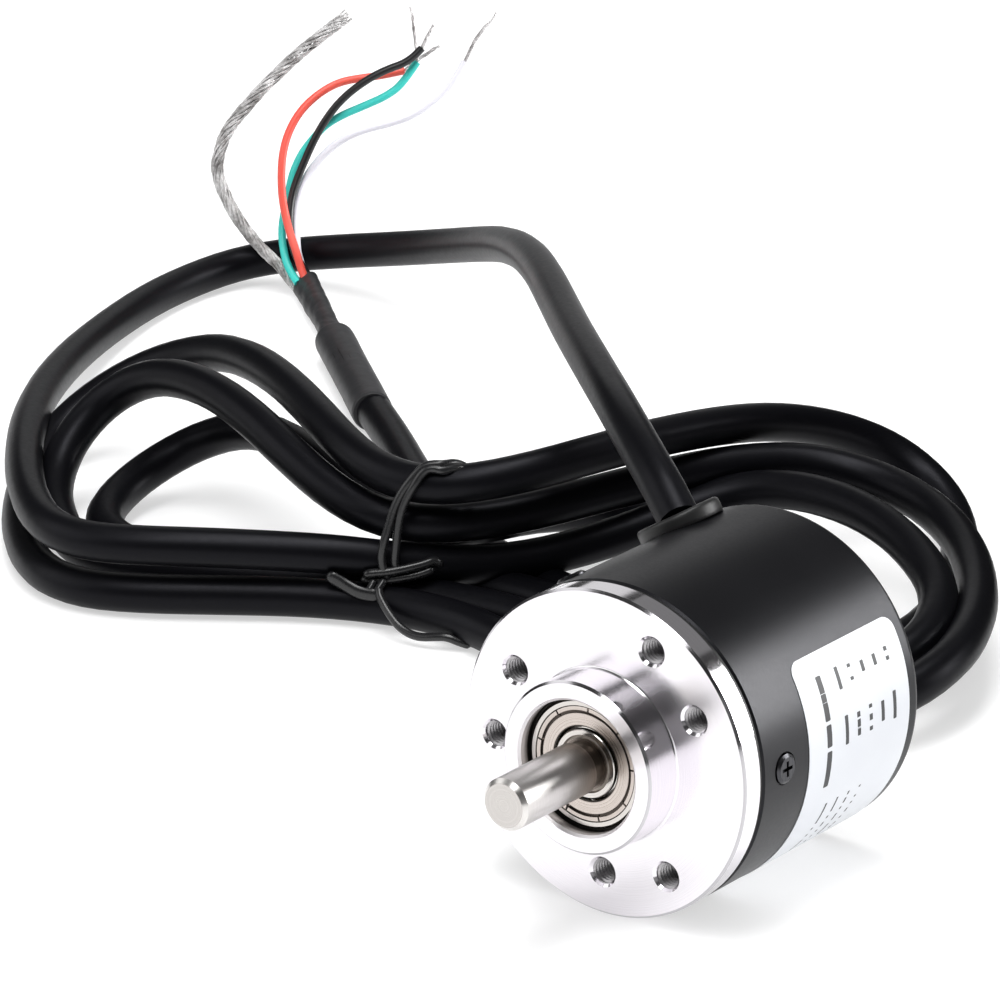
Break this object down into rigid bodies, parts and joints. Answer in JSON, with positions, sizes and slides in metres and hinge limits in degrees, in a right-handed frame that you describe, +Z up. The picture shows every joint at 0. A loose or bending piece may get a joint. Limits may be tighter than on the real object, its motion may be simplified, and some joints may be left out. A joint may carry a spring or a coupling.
{
  "type": "incremental rotary encoder",
  "caption": "Round incremental rotary encoder lying on its side, with a metal flange, pilot boss, ball-borne shaft, black shell and a long round cable tied in a hank, ending in stripped leads.",
  "frame": {"origin": "centre of the flange's mounting face, on the shaft axis", "axes": "-Y along the shaft, out of the boss; +Y to the cable end; +Z up as the encoder lies on a surface; the surface is at z = -0.019 m"},
  "size_m": [0.1997, 0.1978, 0.0435],
  "materials": {
    "flange": "turned",
    "seal": "matte",
    "shell": "satin",
    "screw": "black oxide",
    "label": "satin",
    "grommet": "matte",
    "steel": "ground",
    "cage": "pressed",
    "brass": "turned",
    "board": "satin",
    "chip": "matte",
    "ceramic": "matte",
    "can": "satin",
    "blue": "gloss",
    "clear": "clear",
    "disc": "etched",
    "cable": "matte",
    "sleeve": "satin",
    "red": "satin",
    "green": "satin",
    "white": "satin",
    "black": "satin",
    "braid": "tinned",
    "tie": "satin"
  },
  "bodies": {
    "housing": {"front_flange": "flange", "flange_seal": "seal", "housing_shell": "shell", "shell_screws": "screw", "label": "label", "cable_grommet": "grommet", "inner_cable": "cable", "cable_crimp": "brass", "inner_leads": "white", "wire_header": "white", "front_bearing_outer": "steel", "rear_bearing_outer": "steel", "front_bearing_shields": "steel", "rear_bearing_shields": "steel", "wave_washer": "steel", "retaining_ring": "steel", "circuit_board": "board", "board_standoffs": "brass", "board_screws": "steel", "led_holder": "chip", "led_holder_screws": "steel", "led_emitter": "clear", "photo_sensor": "chip", "reticle_plate": "clear", "comparator_chip": "chip", "driver_chips": "chip", "chip_resistors": "chip", "chip_capacitors": "ceramic", "tank_capacitor": "can", "gain_trimmer": "blue", "cable_lead": "cable", "cable_hank": "cable", "cable_tail": "cable", "heat_shrink_large": "sleeve", "heat_shrink_small": "sleeve", "wire_red": "red", "wire_black": "black", "wire_green": "green", "wire_white": "white", "wire_shield": "braid", "wire_tips": "braid", "twist_tie": "tie"},
    "rotor": {"encoder_shaft": "steel", "front_bearing_inner": "steel", "rear_bearing_inner": "steel", "bearing_spacer": "steel", "shaft_shim": "steel", "shaft_circlip": "steel", "disc_hub": "flange", "hub_set_screws": "steel", "code_disc": "disc", "disc_clamp_ring": "flange"},
    "front_ball_set": {"front_bearing_cage": "cage", "front_bearing_balls": "steel"},
    "rear_ball_set": {"rear_bearing_cage": "cage", "rear_bearing_balls": "steel"}
  },
  "joints": [
    {"name": "shaft_spin", "type": "hinge", "parent": "housing", "child": "rotor", "pos_m": [0, 0, 0], "axis": [0, -1, 0], "continuous": true},
    {"name": "front_ball_set_spin", "type": "hinge", "parent": "housing", "child": "front_ball_set", "pos_m": [0, -0.0009, 0], "axis": [0, -1, 0], "continuous": true},
    {"name": "rear_ball_set_spin", "type": "hinge", "parent": "housing", "child": "rear_ball_set", "pos_m": [0, 0.0091, 0], "axis": [0, -1, 0], "continuous": true}
  ],
  "couplings": [
    {"joint": "front_ball_set_spin", "follows": "shaft_spin", "ratio": 0.3867},
    {"joint": "rear_ball_set_spin", "follows": "shaft_spin", "ratio": 0.3867}
  ]
}
